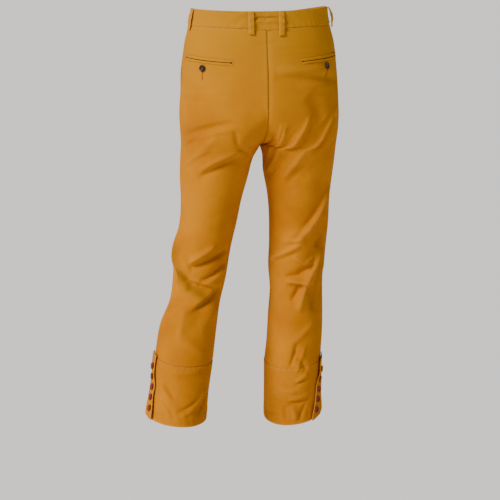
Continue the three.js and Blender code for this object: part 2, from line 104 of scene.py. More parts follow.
# u0, level0, u1, level1, bow, width, height: a soft ridge, or a trough where height is negative.
# u runs over the front from the inseam (0) to the side seam (0.5) and back to the inseam (1).
FOLD_ROWS = {
    "left": [
        [0.55, -268, 0.87, -216, -6, 14, -3],
        [0.65, -342, 0.88, -288, -8, 13, -4.5],
        [0.68, -318, 0.88, -266, -8, 13, 2.5],
        [0.825, -232, 0.84, -282, 0, 10, -2.5],
        [0.53, -500, 0.64, -580, 4, 11, 4],
        [0.5, -505, 0.54, -600, 0, 14, -4],
        [0.6, -562, 0.87, -606, 6, 11, -4.5],
        [0.65, -545, 0.79, -498, 0, 10, 3.5],
        [0.67, -548, 0.9, -508, 4, 10, -5],
        [0.73, -592, 0.92, -538, 2, 10, -4],
        [0.7, -660, 0.9, -596, 4, 14, -5],
        [0.78, -680, 0.92, -640, 0, 14, 3],
        [0.6, -815, 0.74, -858, 0, 12, 2.5],
        [0.04, -300, 0.3, -246, 8, 13, 4],
        [0.05, -330, 0.36, -290, 8, 14, -4],
        [0.08, -368, 0.34, -330, 6, 14, 3.5],
        [0.12, -525, 0.38, -560, 6, 14, 5],
        [0.14, -572, 0.42, -590, 4, 12, -5],
        [0.1, -610, 0.36, -634, 4, 13, 4],
        [0.05, -560, 0.2, -655, 6, 14, -3.5],
        [0.2, -790, 0.42, -828, 0, 14, 2.5],
    ],
    "right": [
        [0.98, -296, 0.94, -236, 0, 10, -3.5],
        [0.985, -342, 0.81, -215, -8, 12, 2.5],
        [0.91, -312, 0.9, -215, 0, 10, 2],
        [0.87, -348, 0.67, -210, -4, 13, 2.5],
        [0.78, -352, 0.6, -258, 0, 14, -3],
        [0.6, -372, 0.76, -498, 4, 11, 5],
        [0.71, -466, 0.88, -510, -4, 10, 4],
        [0.6, -450, 0.71, -552, 0, 15, -5.5],
        [0.74, -500, 0.97, -556, 8, 11, 4.5],
        [0.8, -537, 0.69, -561, 0, 10, 3],
        [0.84, -588, 0.68, -570, 0, 10, -4],
        [0.85, -600, 0.67, -606, -4, 10, 4.5],
        [0.83, -606, 0.69, -622, 0, 10, -3.5],
        [0.6, -530, 0.75, -674, -10, 12, 5.5],
        [0.54, -580, 0.63, -680, 0, 14, -4],
        [0.74, -606, 0.81, -650, 0, 10, -3],
        [0.62, -860, 0.84, -852, 0, 12, 2.5],
        [0.64, -884, 0.86, -878, 4, 11, -2.5],
        [0.04, -304, 0.32, -240, 8, 13, 4],
        [0.05, -335, 0.38, -285, 8, 14, -4],
        [0.08, -372, 0.3, -338, 6, 14, 3],
        [0.1, -520, 0.36, -548, 6, 14, 4.5],
        [0.12, -566, 0.44, -580, 4, 12, -5],
        [0.08, -604, 0.34, -622, 4, 13, 4.5],
        [0.3, -610, 0.44, -660, 4, 14, -3.5],
        [0.16, -856, 0.4, -880, 0, 14, 2.5],
    ],
}

# The narrower creases on top of those folds, in the same columns
CREASE_GAIN = 1.65
CREASE_ROWS = {
    "left": [
        [0.535, -508, 0.64, -580, 3, 6.5, 3],
        [0.51, -540, 0.61, -622, 2, 11, -4.5],
        [0.46, -552, 0.55, -645, 0, 16, -2.6],
        [0.575, -546, 0.7, -592, 3, 5, -3.6],
        [0.66, -586, 0.87, -602, 0, 5, -3.2],
        [0.655, -574, 0.85, -592, 0, 5.5, 2.4],
        [0.665, -543, 0.8, -498, 0, 5, 3.6],
        [0.68, -551, 0.9, -512, 2, 5, -4.2],
        [0.655, -528, 0.69, -560, 0, 4.5, -2.8],
        [0.735, -580, 0.91, -541, 2, 5, -3.6],
        [0.74, -591, 0.91, -556, 2, 6, 3.6],
        [0.71, -653, 0.895, -598, 3, 7, -4],
        [0.72, -632, 0.88, -586, 3, 7, 2.6],
        [0.66, -636, 0.7, -712, 0, 9, 3],
        [0.54, -257, 0.86, -211, -5, 6, -2.8],
        [0.55, -269, 0.85, -224, -5, 6, 2.6],
        [0.54, -285, 0.74, -228, -3, 5, -2.4],
        [0.55, -325, 0.76, -243, -3, 6, 2.8],
        [0.655, -340, 0.82, -290, -3, 6, -3],
        [0.65, -327, 0.81, -277, -3, 6, 2.8],
        [0.835, -228, 0.822, -264, 0, 4, -2.4],
        [0.81, -277, 0.875, -289, 0, 4, -2.4],
        [0.7, -700, 0.86, -735, 0, 9, 2],
        [0.03, -262, 0.28, -206, 6, 6, 3],
        [0.02, -290, 0.3, -258, 6, 6, -3],
        [0.04, -322, 0.24, -300, 5, 6, 2.6],
        [0.1, -548, 0.4, -572, 4, 7, 2],
        [0.12, -562, 0.36, -583, 3, 7, -1.8],
        [0.16, -596, 0.38, -618, 3, 6, 2.4],
        [0.24, -700, 0.42, -735, 0, 9, 2],
        [0.55, -150, 0.8, -146, 0, 5, -0.9],
        [0.54, -174, 0.76, -171, 0, 5, -0.9],
        [0.608, -804, 0.68, -827, 1, 3.5, 2],
        [0.632, -797, 0.697, -822, 1, 4, -2.2],
        [0.605, -838, 0.68, -861, 0, 5, 2],
        [0.69, -770, 0.84, -767, 0, 5, 1.8],
        [0.715, -779, 0.87, -786, 0, 5, -1.6],
        [0.7, -853, 0.86, -820, 2, 4.5, -2.6],
        [0.715, -863, 0.9, -806, 3, 4.5, 2.6],
        [0.92, -815, 0.81, -862, 0, 5, -2.8],
        [0.1, -800, 0.26, -826, 2, 4.5, 2],
        [0.14, -822, 0.34, -850, 2, 5, -2.2],
        [0.3, -776, 0.42, -788, 0, 5, 1.6],
    ],
    "right": [
        [0.984, -283, 0.952, -242, 0, 4.5, -3.6],
        [0.822, -203, 0.842, -294, 4, 5, 3.4],
        [0.81, -246, 0.955, -342, 4, 6, 2.8],
        [0.802, -213, 0.815, -284, 4, 6, -2],
        [0.83, -292, 0.935, -350, 0, 7, -1.8],
        [0.655, -192, 0.742, -294, -8, 5, 3.4],
        [0.71, -246, 0.85, -352, 2, 6, 2.8],
        [0.638, -208, 0.715, -286, -8, 6, -2],
        [0.728, -296, 0.835, -362, 0, 7, -1.8],
        [0.92, -308, 0.845, -232, -3, 5, -1.8],
        [0.897, -220, 0.9, -290, 1, 4.5, 2.6],
        [0.9, -278, 0.955, -312, 0, 5, 1.6],
        [0.924, -258, 0.916, -218, 0, 4.5, 2],
        [0.605, -376, 0.79, -506, 5, 6, 4.6],
        [0.62, -372, 0.8, -492, 5, 7, -2.4],
        [0.74, -497, 0.85, -503, 0, 5, 2.6],
        [0.745, -503, 0.975, -553, 3, 5, 3],
        [0.75, -515, 0.955, -564, 3, 5, -2.4],
        [0.8, -538, 0.725, -560, 0, 4, 2.8],
        [0.74, -560, 0.675, -540, 0, 4, 2.6],
        [0.77, -580, 0.68, -556, 0, 5, -3.6],
        [0.84, -589, 0.725, -583, 0, 4, -2.8],
        [0.83, -598, 0.715, -603, 0, 4.5, 3.6],
        [0.815, -607, 0.675, -610, -3, 4.5, -3.2],
        [0.605, -525, 0.76, -676, -13, 7, 5],
        [0.575, -535, 0.67, -675, -8, 9, -4],
        [0.75, -609, 0.805, -648, 0, 5, -2.8],
        [0.615, -485, 0.668, -520, 0, 8, -3],
        [0.66, -700, 0.8, -752, 0, 8, 2.2],
        [0.76, -762, 0.66, -812, 0, 6, -2.6],
        [0.03, -258, 0.3, -200, 6, 6, 3],
        [0.02, -286, 0.32, -250, 6, 6, -3],
        [0.04, -320, 0.26, -296, 5, 6, 2.6],
        [0.08, -536, 0.38, -560, 4, 7, 1.8],
        [0.1, -552, 0.36, -575, 3, 7, -1.6],
        [0.12, -588, 0.34, -604, 3, 7, 1.8],
        [0.26, -680, 0.44, -720, 0, 9, 2],
        [0.97, -62, 0.7, -66, 0, 4, -0.7],
        [0.96, -76, 0.74, -80, 0, 4, -0.7],
        [0.985, -124, 0.62, -133, 2, 9, -3.4],
        [0.97, -106, 0.72, -112, 0, 10, 2.6],
        [0.9, -141, 0.7, -148, 0, 8, 1.6],
        [0.84, -158, 0.74, -214, 0, 18, -4],
        [0.62, -140, 0.64, -214, 0, 9, 2.4],
        [0.752, -746, 0.762, -800, 0, 5, -3.2],
        [0.708, -752, 0.722, -812, 0, 6, 2.4],
        [0.71, -833, 0.65, -819, 0, 4.5, 2.6],
        [0.71, -842, 0.645, -829, 0, 4, -2.2],
        [0.79, -841, 0.69, -850, 0, 3.5, -1.8],
        [0.79, -848, 0.69, -858, 0, 3.5, 1.8],
        [0.72, -887, 0.595, -880, 0, 5, -2.6],
        [0.72, -876, 0.605, -869, 0, 5, 2.2],
        [0.7, -888, 0.65, -924, 0, 6, 2.6],
        [0.735, -890, 0.7, -926, 0, 5, -2.2],
        [0.62, -888, 0.64, -926, 0, 5, -2],
        [0.87, -916, 0.74, -910, 0, 4, -1.4],
        [0.12, -838, 0.3, -860, 2, 5, 2],
        [0.16, -872, 0.36, -884, 0, 5, -2.2],
    ],
}


def power(value, squareness):
    return np.sign(value) * np.abs(value) ** (2 / squareness)


def section(side, level):
    """The chart's columns at each level, on a smooth curve through its rows."""
    rows = STATIONS[side]
    last = len(rows) - 1
    i = np.clip(np.searchsorted(-rows[:, 0], -level, side="right") - 1, 0, last - 1)
    a, b = rows[i], rows[i + 1]
    before, after = rows[np.maximum(i - 1, 0)], rows[np.minimum(i + 2, last)]
    span = b[..., :1] - a[..., :1]
    t = (level[..., None] - a[..., :1]) / span
    slope_a = (b - before) / (b[..., :1] - before[..., :1]) * span
    slope_b = (after - a) / (after[..., :1] - a[..., :1]) * span
    read = (2 * t**3 - 3 * t**2 + 1) * a + (t**3 - 2 * t**2 + t) * slope_a
    read = read + (3 * t**2 - 2 * t**3) * b + (t**3 - t**2) * slope_b
    return np.moveaxis(read, -1, 0)


def fold_height(rows, u, level, girth):
    """How far the folds move the cloth out, in millimetres: each is a bowed ridge that fades
    towards its ends."""
    total = np.zeros_like(u)
    for u0, level0, u1, level1, bow, width, height in rows:
        along = (u1 - u0) * girth, np.full_like(u, level1 - level0)
        length = np.hypot(*along)
        to = (u - u0) * girth, level - level0
        t = np.clip((to[0] * along[0] + to[1] * along[1]) / length**2, 0, 1)
        arch = 4 * t * (1 - t)
        across = (to[0] * along[1] - to[1] * along[0]) / length - bow * arch
        total += height * arch**0.6 * np.exp(-((across / width) ** 2))
    return total


def unevenness(side, u, level):
    """Slight hollows and swells of worn cloth, half a millimetre deep."""
    turn = 0.0 if side == "left" else 2.1
    wave = np.sin(11 * u + level / 47 + turn) * np.sin(7 * u - level / 61 + 1.3 * turn)
    return 0.5 * wave + 0.25 * np.sin(29 * u + level / 23 + turn) * np.sin(level / 31 - 17 * u)


# Painted shade: where the hollow of a fold is coloured a darker olive than the cloth round it, in the same
# columns, with the share of the painted shade for a height
PAINTED_SHADE_ROWS = {
    "left": [
        [0.545, -500, 0.578, -596, 0, 15, 0.8],
        [0.58, -556, 0.685, -604, -2, 11, 0.7],
        [0.65, -594, 0.81, -624, -4, 9, 0.65],
        [0.785, -612, 0.712, -695, 0, 10, 0.4],
    ],
    "right": [
        [0.66, -500, 0.625, -590, 0, 10, 0.4],
        [0.72, -612, 0.66, -690, 0, 10, 0.35],
    ],
}


def cloth(side, u, level, with_wear_and_shade=False):
    """The cloth's outer face, in millimetres; with_wear_and_shade adds how far its folds move it out and how
    much painted shade, a darker olive, its hollows get."""
    _, half, gap, y, front, back, tilt, roll, twist = section(side, level)
    turned = np.clip((CROTCH_TOP - level) / (CROTCH_TOP - FORK), 0, 1)
    start = np.arccos(turned)
    squareness = SEAT_SQUARENESS + (LEG_SQUARENESS - SEAT_SQUARENESS) * turned
    angle = start + u * 2 * (np.pi - start) + np.radians(twist)
    leg = level < FORK
    middle = np.where(leg, (half + gap) / 2, half / 2 * power(turned, squareness))
    inner = np.where(leg, (half - gap) / 2, half / 2)
    outer = half - middle
    c, n = power(np.cos(angle), squareness), power(np.sin(angle), squareness)
    out_x = -c * np.where(c > 0, inner, outer)
    out_y = n * np.where(n > 0, front, back)
    girth = 2 * (np.pi - start) * np.hypot(outer, back) * math.sqrt(0.5)
    fold = fold_height(FOLD_ROWS[side], u, level, girth)
    fold = fold + CREASE_GAIN * fold_height(CREASE_ROWS[side], u, level, girth)
    fold = fold + unevenness(side, u, level)
    grow = 1 + fold / np.hypot(out_x, out_y)
    out_x, out_y = out_x * grow, out_y * grow
    waist = SIDE_RISE * c**2 - FRONT_DROP * np.maximum(n, 0) ** 2
    z = level + waist * np.clip(1 - level / CROTCH_TOP, 0, 1)
    z = z + out_y * np.tan(np.radians(tilt)) + out_x * np.tan(np.radians(roll))
    x = np.maximum(middle + out_x, 0)
    points = np.stack([-x if side == "left" else x, y + out_y, z], -1)
    if with_wear_and_shade:
        return points, fold, fold_height(PAINTED_SHADE_ROWS[side], u, level, girth)
    return points


SEAM_SAG = {"depth": 5, "reach": 24, "fade": 13}
HALF_WAIST = 421


def sagged(u, level):
    """Levels let down where the belt draws the band's seam low between the two back loops."""
    from_middle = (1 - u) * HALF_WAIST
    near_seam = np.exp(-(((level - SEAM_LEVEL) / SEAM_SAG["fade"]) ** 2))
    return level - SEAM_SAG["depth"] * np.exp(-((from_middle / SEAM_SAG["reach"]) ** 4)) * near_seam


def lifted(side, u, level, height):
    """Points held off the cloth along its normal, in millimetres."""
    level = sagged(u, level)
    du, dz = 0.003, 1.5
    across = cloth(side, u + du, level) - cloth(side, u - du, level)
    up = cloth(side, u, level + dz) - cloth(side, u, level - dz)
    normal = np.cross(across, up)
    normal /= np.linalg.norm(normal, axis=-1, keepdims=True)
    if side == "right":
        normal = -normal
    points = cloth(side, u, level) + normal * height[..., None]
    keep = np.minimum if side == "left" else np.maximum
    points[..., 0] = keep(points[..., 0], 0)
    middle_seam = ((u == 0) | (u == 1)) & (level > FORK)
    points[..., 0] = np.where(middle_seam, 0, points[..., 0])
    return points


def reach(side, u, level):
    """Millimetres round the cloth for one unit of u."""
    du = 0.02
    step = cloth(side, u + du, level) - cloth(side, u - du, level)
    return np.linalg.norm(step, axis=-1) / (2 * du)


def behind(side, u, level, distance):
    """The u a distance behind the point u, measured round the cloth."""
    u = np.broadcast_to(np.asarray(u, float), np.shape(level)).copy()
    return u + distance / reach(side, u + 0.5 * distance / reach(side, u, level), level)


def linear(code):
    """An sRGB hex colour as the linear values that shaders take."""
    parts = [int(code[i : i + 2], 16) / 255 for i in (1, 3, 5)]
    return [p / 12.92 if p <= 0.04045 else ((p + 0.055) / 1.055) ** 2.4 for p in parts] + [1.0]


def node(tree, kind, settings=None, values=None, links=None):
    """Adds one node with its settings, its sockets' values and its links."""
    made = tree.nodes.new(kind)
    for key, value in (settings or {}).items():
        setattr(made, key, value)
    for key, value in (values or {}).items():
        made.inputs[key].default_value = value
    for key, source in (links or {}).items():
        tree.links.new(source, made.inputs[key])
    return made


def material(name, values):
    """A new material: a Principled shader with these values, wired to its output."""
    made = bpy.data.materials.new(name)
    made.use_nodes = True
    tree = made.node_tree
    tree.nodes.clear()
    shader = node(tree, "ShaderNodeBsdfPrincipled", values=values)
    node(tree, "ShaderNodeOutputMaterial", links={"Surface": shader.outputs["BSDF"]})
    return made, tree, shader


RIB_PITCH, RIB_SLOPE = 1.3, -27
MIXED = {"data_type": "RGBA"}
MULTIPLIED = {"data_type": "RGBA", "blend_type": "MULTIPLY"}


def twill_cloth(name, light, dark):
    """Garment-dyed cotton twill: matt with a faint sheen, a fine diagonal rib, cloudy in its dye, paler
    where seams have rubbed, lighter and yellower towards the top, and with painted olive shade in the
    hollows of its folds."""
    surface = {"Roughness": 0.85, "Specular IOR Level": 0.06}
    sheen = {"Sheen Weight": 0.04, "Sheen Roughness": 0.4, "Sheen Tint": linear("#FFD9A0")}
    made, tree, shader = material(name, surface | sheen)
    place = node(tree, "ShaderNodeTexCoord")
    cloud = node(
        tree,
        "ShaderNodeTexNoise",
        values={"Scale": 9.0, "Detail": 4.0, "Roughness": 0.6},
        links={"Vector": place.outputs["Object"]},
    )
    dye = node(
        tree,
        "ShaderNodeMapRange",
        values={"From Min": 0.32, "From Max": 0.68},
        links={"Value": cloud.outputs["Fac"]},
    )
    tones = {"A": linear(dark), "B": linear(light)}
    colour = node(tree, "ShaderNodeMix", MIXED, tones, {"Factor": dye.outputs["Result"]})
    # The real rib is 0.5 mm apart; it is drawn coarser so that it shows.
    lay = node(
        tree,
        "ShaderNodeMapping",
        values={"Rotation": (0, 0, math.radians(RIB_SLOPE))},
        links={"Vector": place.outputs["UV"]},
    )
    rib = node(
        tree,
        "ShaderNodeTexWave",
        {"wave_type": "BANDS", "bands_direction": "X", "wave_profile": "SIN"},
        {"Scale": math.pi / (10 * RIB_PITCH * MM), "Distortion": 1.5, "Detail": 2.0},
        {"Vector": lay.outputs["Vector"]},
    )
    slub = node(
        tree,
        "ShaderNodeTexNoise",
        values={"Scale": 420.0, "Detail": 3.0, "Roughness": 0.7},
        links={"Vector": place.outputs["UV"]},
    )
    # The top third is mixed towards a lighter, yellower tone. The hollows of folds get painted shade, a
    # darker olive, and rubbed edges and ridges are paler, more so on thick yarns.
    height = node(tree, "ShaderNodeSeparateXYZ", links={"Vector": place.outputs["Object"]})
    top_share = node(
        tree,
        "ShaderNodeMapRange",
        values={"From Min": -0.26, "From Max": -0.02, "To Max": 0.75},
        links={"Value": height.outputs["Z"]},
    )
    hollow_shade = node(tree, "ShaderNodeAttribute", {"attribute_name": "hollow"})
    rubbed = node(tree, "ShaderNodeAttribute", {"attribute_name": "edge"})
    wear = node(
        tree,
        "ShaderNodeMath",
        {"operation": "MULTIPLY"},
        links={0: rubbed.outputs["Fac"], 1: slub.outputs["Fac"]},
    )
    top_tone = "#CD8F14", top_share.outputs["Result"]
    olive = "#8A5C00", hollow_shade.outputs["Fac"]
    pale = "#E2A246", wear.outputs["Value"]
    for code, share in (top_tone, olive, pale):
        links = {"Factor": share, "A": colour.outputs["Result"]}
        colour = node(tree, "ShaderNodeMix", MIXED, {"B": linear(code)}, links)
    for depth, pattern in ((0.16, rib.outputs["Color"]), (0.1, slub.outputs["Fac"])):
        links = {"A": colour.outputs["Result"], "B": pattern}
        colour = node(tree, "ShaderNodeMix", MULTIPLIED, {"Factor": depth}, links)
    tree.links.new(colour.outputs["Result"], shader.inputs["Base Color"])
    weave = node(
        tree,
        "ShaderNodeBump",
        values={"Strength": 0.35, "Distance": 0.12 * MM},
        links={"Height": rib.outputs["Fac"]},
    )
    relief = node(
        tree,
        "ShaderNodeBump",
        values={"Strength": 0.5, "Distance": 0.15 * MM},
        links={"Height": slub.outputs["Fac"], "Normal": weave.outputs["Normal"]},
    )
    tree.links.new(relief.outputs["Normal"], shader.inputs["Normal"])
    return made


MUSTARD_TWILL = twill_cloth("mustard_cotton_twill", "#D68706", "#C07200")
RUBBED_RIDGE = {"height": 9, "wear": 0.3}
# The most painted shade, a darker olive, that a fold's hollow takes.
DEEPEST_PAINTED_SHADE = 0.85


def in_scene(name, data):
    """A new object in the scene, with a mesh, a lamp or a camera as its data."""
    made = bpy.data.objects.new(name, data)
    bpy.context.scene.collection.objects.link(made)
    return made


def shell(name, side, u, level, height, thickness, finish, edge=0):
    """A closed wall of cloth over a grid of u and level, rows down and columns round. Its map is
    in metres along the cloth, and edge says how near a point is to a rubbed edge, 0 to 1."""
    u, level, height, thickness = np.broadcast_arrays(u, level, height, thickness)
    rows, columns = u.shape
    outer = lifted(side, u, level, height + thickness)
    inner = lifted(side, u, level, height)
    points = np.concatenate([outer.reshape(-1, 3), inner.reshape(-1, 3)]) * MM
    at = np.arange(rows * columns).reshape(rows, columns)
    below = at + rows * columns

    def quads(a, b, c, d):
        return np.stack([a, b, c, d], -1).reshape(-1, 4)

    faces = [
        quads(at[:-1, :-1], at[1:, :-1], at[1:, 1:], at[:-1, 1:]),
        quads(below[:-1, :-1], below[:-1, 1:], below[1:, 1:], below[1:, :-1]),
        quads(at[:-1, 0], below[:-1, 0], below[1:, 0], at[1:, 0]),
        quads(at[:-1, -1], at[1:, -1], below[1:, -1], below[:-1, -1]),
        quads(at[0, :-1], at[0, 1:], below[0, 1:], below[0, :-1]),
        quads(at[-1, :-1], below[-1, :-1], below[-1, 1:], at[-1, 1:]),
    ]
    faces = np.concatenate(faces)
    if side == "right":
        faces = faces[:, ::-1]
    mesh = bpy.data.meshes.new(name)
    mesh.from_pydata(points.tolist(), [], faces.tolist())
    round_way = np.linalg.norm(np.diff(outer, axis=1, prepend=outer[:, :1]), axis=-1).cumsum(1)
    down_way = np.linalg.norm(np.diff(outer, axis=0, prepend=outer[:1]), axis=-1).cumsum(0)
    chart = np.stack([round_way, -down_way], -1).reshape(-1, 2) * MM
    chart = np.concatenate([chart, chart])
    layer = mesh.uv_layers.new(name="cloth")
    layer.data.foreach_set("uv", chart[faces.reshape(-1)].astype(np.float32).reshape(-1))
    # The hollow attribute carries painted shade: a darker olive for the folds' hollows.
    _, fold, hollow_shade = cloth(side, u, level, with_wear_and_shade=True)
    ridge = RUBBED_RIDGE["wear"] * np.clip(fold / RUBBED_RIDGE["height"], 0, 1)
    for attribute, share in (("edge", ridge + edge), ("hollow", np.clip(hollow_shade, 0, DEEPEST_PAINTED_SHADE))):
        values = np.concatenate([share.reshape(-1), share.reshape(-1)]).astype(np.float32)
        mesh.attributes.new(attribute, "FLOAT", "POINT").data.foreach_set("value", values)
    mesh.shade_smooth()
    mesh.materials.append(finish)
    return in_scene(name, mesh)


EDGE_STEPS = np.array([0, 0.5, 1.1, 1.9, 3.0, 4.6])


def shares(width, count):
    """Distances from 0 to width, close together at both ends."""
    middle = np.linspace(EDGE_STEPS[-1], width - EDGE_STEPS[-1], count)
    return np.concatenate([EDGE_STEPS[:-1], middle, (width - EDGE_STEPS[:-1])[::-1]])


def seam_dip(distance, depth=0.9, width=2.0):
    """How far the cloth is drawn in beside a seam."""
    return -depth * np.exp(-((distance / width) ** 2))


def pucker(distance, run, strength=0.3, pitch=9.0, depth=9.0):
    """Small ripples that a seam's stitches gather across it."""
    wave = np.sin(2 * np.pi * run / pitch + 1.7 * np.sin(run / 37) + 0.9 * np.sin(run / 19))
    return strength * wave * np.exp(-((distance / depth) ** 2))


def panel(name, side, u_from, u_to, top, bottom, columns, rows, relief, thickness=TWILL, hem_rub=0):
    """A panel between two seams, given by functions of level. relief(side, left, right, up, down,
    level) lifts it, from the distances to its four edges in millimetres."""
    level_line = top - shares(top - bottom, rows)
    edge_from, edge_to = u_from(level_line), u_to(level_line)
    width = (edge_to - edge_from) * reach(side, (edge_from + edge_to) / 2, level_line)
    typical = shares(float(width.mean()), columns) / float(width.mean())
    share = np.broadcast_to(typical, (len(level_line), len(typical)))
    u = edge_from[:, None] + (edge_to - edge_from)[:, None] * share
    level = np.broadcast_to(level_line[:, None], u.shape).copy()
    left, right = share * width[:, None], (1 - share) * width[:, None]
    up, down = top - level, level - bottom
    height = relief(side, left, right, up, down, level)
    nearest = np.minimum(np.minimum(left, right), np.minimum(up, down))
    rub = 0.4 * np.exp(-nearest / 3) + hem_rub * np.exp(-((down / 2) ** 2))
    return shell(name, side, u, level, height - thickness, thickness, MUSTARD_TWILL, rub)


def along(u):
    return lambda level: np.full(np.shape(level), float(u))


SLANT = {"top": 42, "bottom": -155}
MOUTH_FADE = 30


def mouth(side):
    """Where a front ends: at its slanted pocket's mouth, and at the side seam below that."""

    def at(level):
        share = np.maximum((level - SLANT["bottom"]) / (SEAM_LEVEL - SLANT["bottom"]), 0)
        return behind(side, 0.5, level, -SLANT["top"] * share)

    return at


def front_relief(side, left, right, up, down, level):
    pocket = np.clip((level - SLANT["bottom"]) / MOUTH_FADE, 0, 1)
    side_seam = (1 - pocket) * (seam_dip(right) + pucker(right, level, 0.25))
    ends = seam_dip(up) + seam_dip(down, 1.2) + seam_dip(left) + pucker(left, level, 0.2)
    return side_seam + ends + pocket * 0.7 * np.exp(-((right / 9) ** 2))


SEAT_PUCKER = {"level": -50, "reach": 12, "depth": 2}


def back_relief(side, left, right, up, down, level):
    across, up_down = (right - 3) / SEAT_PUCKER["reach"], (level - SEAT_PUCKER["level"]) / 2.8
    drawn = -SEAT_PUCKER["depth"] * np.exp(-(across**2) - up_down**2)
    seams = seam_dip(left) + pucker(left, level, 0.25) + pucker(right, level, 0.4)
    if side == "left":
        seat_seam = 0.5 * np.exp(-((right / 4) ** 2)) + seam_dip(right, 0.9, 0.7)
    else:
        seat_seam = seam_dip(right, 1.5, 3.5)
    cuff_seam = seam_dip(down, 1.2 if side == "left" else 0.5)
    return drawn + seams + seat_seam + seam_dip(up) + cuff_seam


def fitted(piece, part):
    """Fixes a piece to the one body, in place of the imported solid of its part."""
    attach(piece, "root")
    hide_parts(part)


# The flat cut of what shows, between its seams
PANEL_ROWS = 230
for side in SIDES:
    front = "front", along(0), mouth(side), 66, front_relief
    back = "back", along(0.5), along(1), 78, back_relief
    for part, u_from, u_to, columns, relief in (front, back):
        name, levels = f"{part}_{side}", (SEAM_LEVEL, CUFF_TOP[side])
        piece = panel(f"{name}_cloth", side, u_from, u_to, *levels, columns, PANEL_ROWS, relief)
        fitted(piece, name)

# Side pieces under the slanted pockets
# A wedge of the same twill carries each front pocket's bag. It shows between the pocket's
# slanted mouth and the side seam, a little lower than the front that is folded over it.
WEDGE = {"tucked": 4, "height": 135}
WEDGE_GRID = 8, 40


def wedge_edge(side):
    """Where a side piece ends, tucked a little way under the front."""

    def at(level):
        up = level - SLANT["bottom"]
        return behind(side, 0.5, level, -WEDGE["tucked"] - SLANT["top"] * up / WEDGE["height"])

    return at


def side_relief(side, left, right, up, down, level):
    under_front = -np.exp(-((left / 12) ** 2)) + seam_dip(up) + seam_dip(right) - 0.15
    return under_front - 1.2 * np.exp(-((left / 5) ** 2))


for side in SIDES:
    name, levels = f"pocket_side_{side}", (SEAM_LEVEL, SLANT["bottom"])
    wedge = panel(f"{name}_cloth", side, wedge_edge(side), along(0.5), *levels, *WEDGE_GRID, side_relief)
    fitted(wedge, name)

# Cuffs
# A deep band of twill, front and back, is sewn round the foot of each leg and turned up inside
# at the hem. It is a shade proud of the leg and ripples a little where the hem is stitched.
CUFF_PROUD = 0.6
CUFF_WALL = 2.0
CUFF_ROWS = 44
HEM_RUB = 1.2
HEM_DEPTH = 22
SEAM_DEPTH = {"left": 1.1, "right": 0.5}


def cuff_relief(side, left, right, up, down, level):
    seams = seam_dip(left, 0.8) + seam_dip(right, 0.8) + pucker(up, left, 0.3, 13, 12)
    turned = 0.35 / (1 + np.exp((down - HEM_DEPTH) / 0.8))
    rolled = -0.5 * np.exp(-((down / 0.9) ** 2))
    ripple = pucker(down - HEM_DEPTH, left, 0.45, 17, 14)
    return CUFF_PROUD + seams + seam_dip(up, 0.5 * SEAM_DEPTH[side], 1.2) + turned + rolled + ripple


for side in SIDES:
    for part, u_from, u_to, columns in (("front", 0, 0.5, 66), ("back", 0.5, 1, 70)):
        name, levels = f"cuff_{part}_{side}", (CUFF_TOP[side], HEM[side])
        between = along(u_from), along(u_to)
        cuff = panel(
            f"{name}_cloth", side, *between, *levels, columns, CUFF_ROWS, cuff_relief, CUFF_WALL, HEM_RUB
        )
        fitted(cuff, name)

# Waistband
# A straight faced band, 36 mm deep, in two halves joined at the seat seam. A belt has crumpled
# it between the back loops and drawn its seam low there.
BAND_PROUD = 0.8
BAND_WALL = 2.2
BAND_GRID = 150, 26
CRUMPLE = {"roll": 2.6, "groove": 3.2, "drawn_in": 1.2}


def band_relief(side, left, right, up, down, level):
    rolled = -0.9 * np.exp(-((up / 1.0) ** 2)) + seam_dip(down, 0.8, 1.2)
    drawn = np.exp(-((right / 25) ** 4))
    fold = level - 3 - 1.6 * np.sin(right / 6)
    roll, groove = np.exp(-(((fold + 6.5) / 3.4) ** 2)), np.exp(-((fold / 2.4) ** 2))
    crumple = drawn * (CRUMPLE["roll"] * roll - CRUMPLE["groove"] * groove) - CRUMPLE["drawn_in"] * drawn
    beside = np.exp(-(((right - 50) / 16) ** 2))
    crumple = crumple + 0.7 * beside * np.sin(level / 4.5 + right / 9)
    stitched = pucker(down, left, 0.35, 15, 10) + pucker(up, left, 0.25, 21, 9)
    return BAND_PROUD + rolled + crumple + stitched + seam_dip(right, 0.2, 1.5)


for side in SIDES:
    name, levels = f"waistband_{side}", (-SEAM_LEVEL, SEAM_LEVEL)
    ends = along(0), along(1)
    band = panel(f"{name}_cloth", side, *ends, *levels, *BAND_GRID, band_relief, BAND_WALL)
    fitted(band, name)

# Belt loops
# Six narrow strips of twill, folded lengthways in three. Each is caught in the band's top edge
# and tacked down below the band, and bows away between.
LOOP_WIDTH = 11
LOOP_WALL = 1.6
